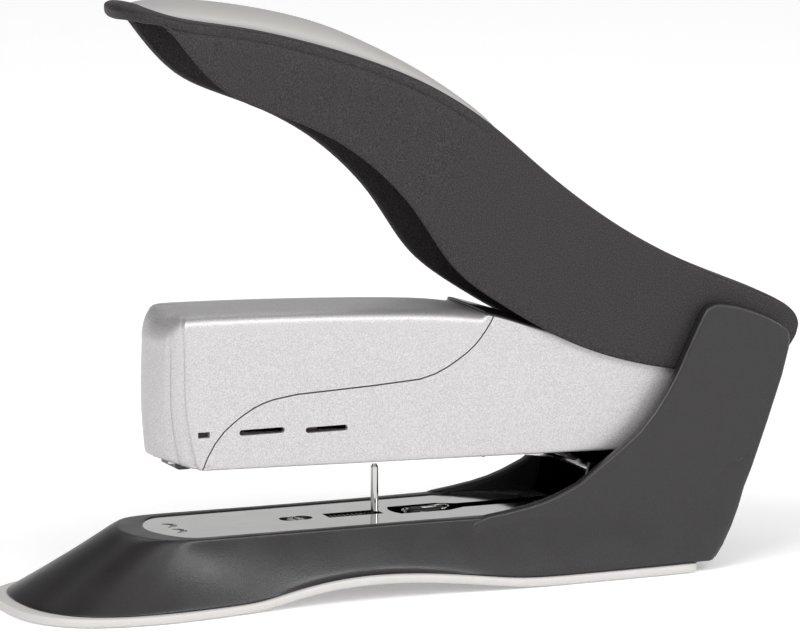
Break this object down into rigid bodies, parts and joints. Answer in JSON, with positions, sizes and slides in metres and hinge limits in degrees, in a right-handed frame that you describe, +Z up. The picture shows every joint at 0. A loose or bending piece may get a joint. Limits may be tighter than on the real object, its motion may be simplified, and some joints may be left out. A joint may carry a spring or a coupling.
{
  "type": "long reach stapler",
  "caption": "Spring-powered high-capacity desk stapler with a tall lever handle, silver head, steel clinch plate and sliding paper stop.",
  "frame": {"origin": "on the ground under the middle of the length and width", "axes": "+Z up, -X towards the nose, Y across"},
  "size_m": [0.2846, 0.0788, 0.2053],
  "materials": {
    "black_satin": "satin, fine leather grain",
    "black_matte": "fine matte texture",
    "black_plastic": "semi-gloss",
    "warm_grey_plastic": "smooth matte",
    "warm_grey_rubber": "smooth matte",
    "silver_paint": "metallic paint with fine sparkle",
    "polished_steel": "polished",
    "zinc_steel": "zinc plated",
    "black_steel": "gloss black",
    "spring_steel": "drawn wire",
    "copper_metal": "satin copper tone"
  },
  "bodies": {
    "base": {"base_housing": "black_satin", "base_sole": "warm_grey_rubber", "base_plate": "polished_steel", "plate_screw": "zinc_steel", "base_frame": "black_steel", "head_pivot_pin": "polished_steel", "pivot_clips": "zinc_steel", "frame_screws": "zinc_steel", "lift_leaf": "polished_steel", "leaf_rod": "spring_steel", "guide_rack": "black_plastic"},
    "paper_guide": {"guide_slider": "black_plastic"},
    "stop_pin": {"guide_post": "polished_steel"},
    "head": {"head_cover": "silver_paint", "side_panel_left": "silver_paint", "side_panel_right": "silver_paint", "head_frame": "black_steel", "rear_cover": "black_plastic", "handle_pin": "polished_steel", "lever_pin": "polished_steel", "power_spring": "spring_steel", "handle_spring": "spring_steel"},
    "magazine": {"magazine_channel": "polished_steel", "pusher_rod": "spring_steel", "nose_panel": "silver_paint", "nose_foot": "black_plastic"},
    "pusher": {"pusher": "copper_metal"},
    "striker": {"striker_blade": "zinc_steel"},
    "lever": {"lift_lever": "zinc_steel"},
    "release_button": {"magazine_release": "black_plastic"},
    "handle": {"handle_shell": "black_matte", "handle_insert": "warm_grey_plastic", "handle_liner": "zinc_steel"}
  },
  "joints": [
    {"name": "head_pivot", "type": "hinge", "parent": "base", "child": "head", "pos_m": [0.105, 0, 0.042], "axis": [0, -1, 0], "range_deg": [0, 6], "stiffness_Nm_per_rad": 6, "springref_deg": -6.88, "deforming": ["lift_leaf"]},
    {"name": "handle_pivot", "type": "hinge", "parent": "head", "child": "handle", "pos_m": [0.126, 0, 0.079], "axis": [0, -1, 0], "range_deg": [0, 22], "stiffness_Nm_per_rad": 1.2, "springref_deg": -25.78},
    {"name": "lever_pivot", "type": "hinge", "parent": "head", "child": "lever", "pos_m": [0.02, 0, 0.072], "axis": [0, 1, 0], "range_deg": [0, 6.6], "deforming": ["power_spring"]},
    {"name": "striker_slide", "type": "slide", "parent": "head", "child": "striker", "axis": [0, 0, 1], "range_m": [0, 0.0121]},
    {"name": "magazine_slide", "type": "slide", "parent": "head", "child": "magazine", "axis": [-0.9993, 0, 0.0366], "range_m": [0, 0.06]},
    {"name": "pusher_slide", "type": "slide", "parent": "magazine", "child": "pusher", "axis": [0.9993, 0, -0.0366], "range_m": [0, 0.07], "stiffness_N_per_m": 10, "springref_m": -0.05},
    {"name": "release_press", "type": "slide", "parent": "head", "child": "release_button", "axis": [-1, 0, 0], "range_m": [0, 0.0025], "stiffness_N_per_m": 300, "springref_m": -0.001},
    {"name": "guide_slide", "type": "slide", "parent": "base", "child": "paper_guide", "axis": [-1, 0, 0], "range_m": [0, 0.0163]},
    {"name": "pin_retract", "type": "slide", "parent": "paper_guide", "child": "stop_pin", "axis": [0, 0, -1], "range_m": [0, 0.0101]}
  ],
  "couplings": [
    {"joint": "lever_pivot", "follows": "handle_pivot", "ratio": 0.3},
    {"joint": "striker_slide", "follows": "handle_pivot", "m_per_rad": 0.031252},
    {"joint": "pin_retract", "follows": "head_pivot", "m_per_rad": 0.095493}
  ]
}
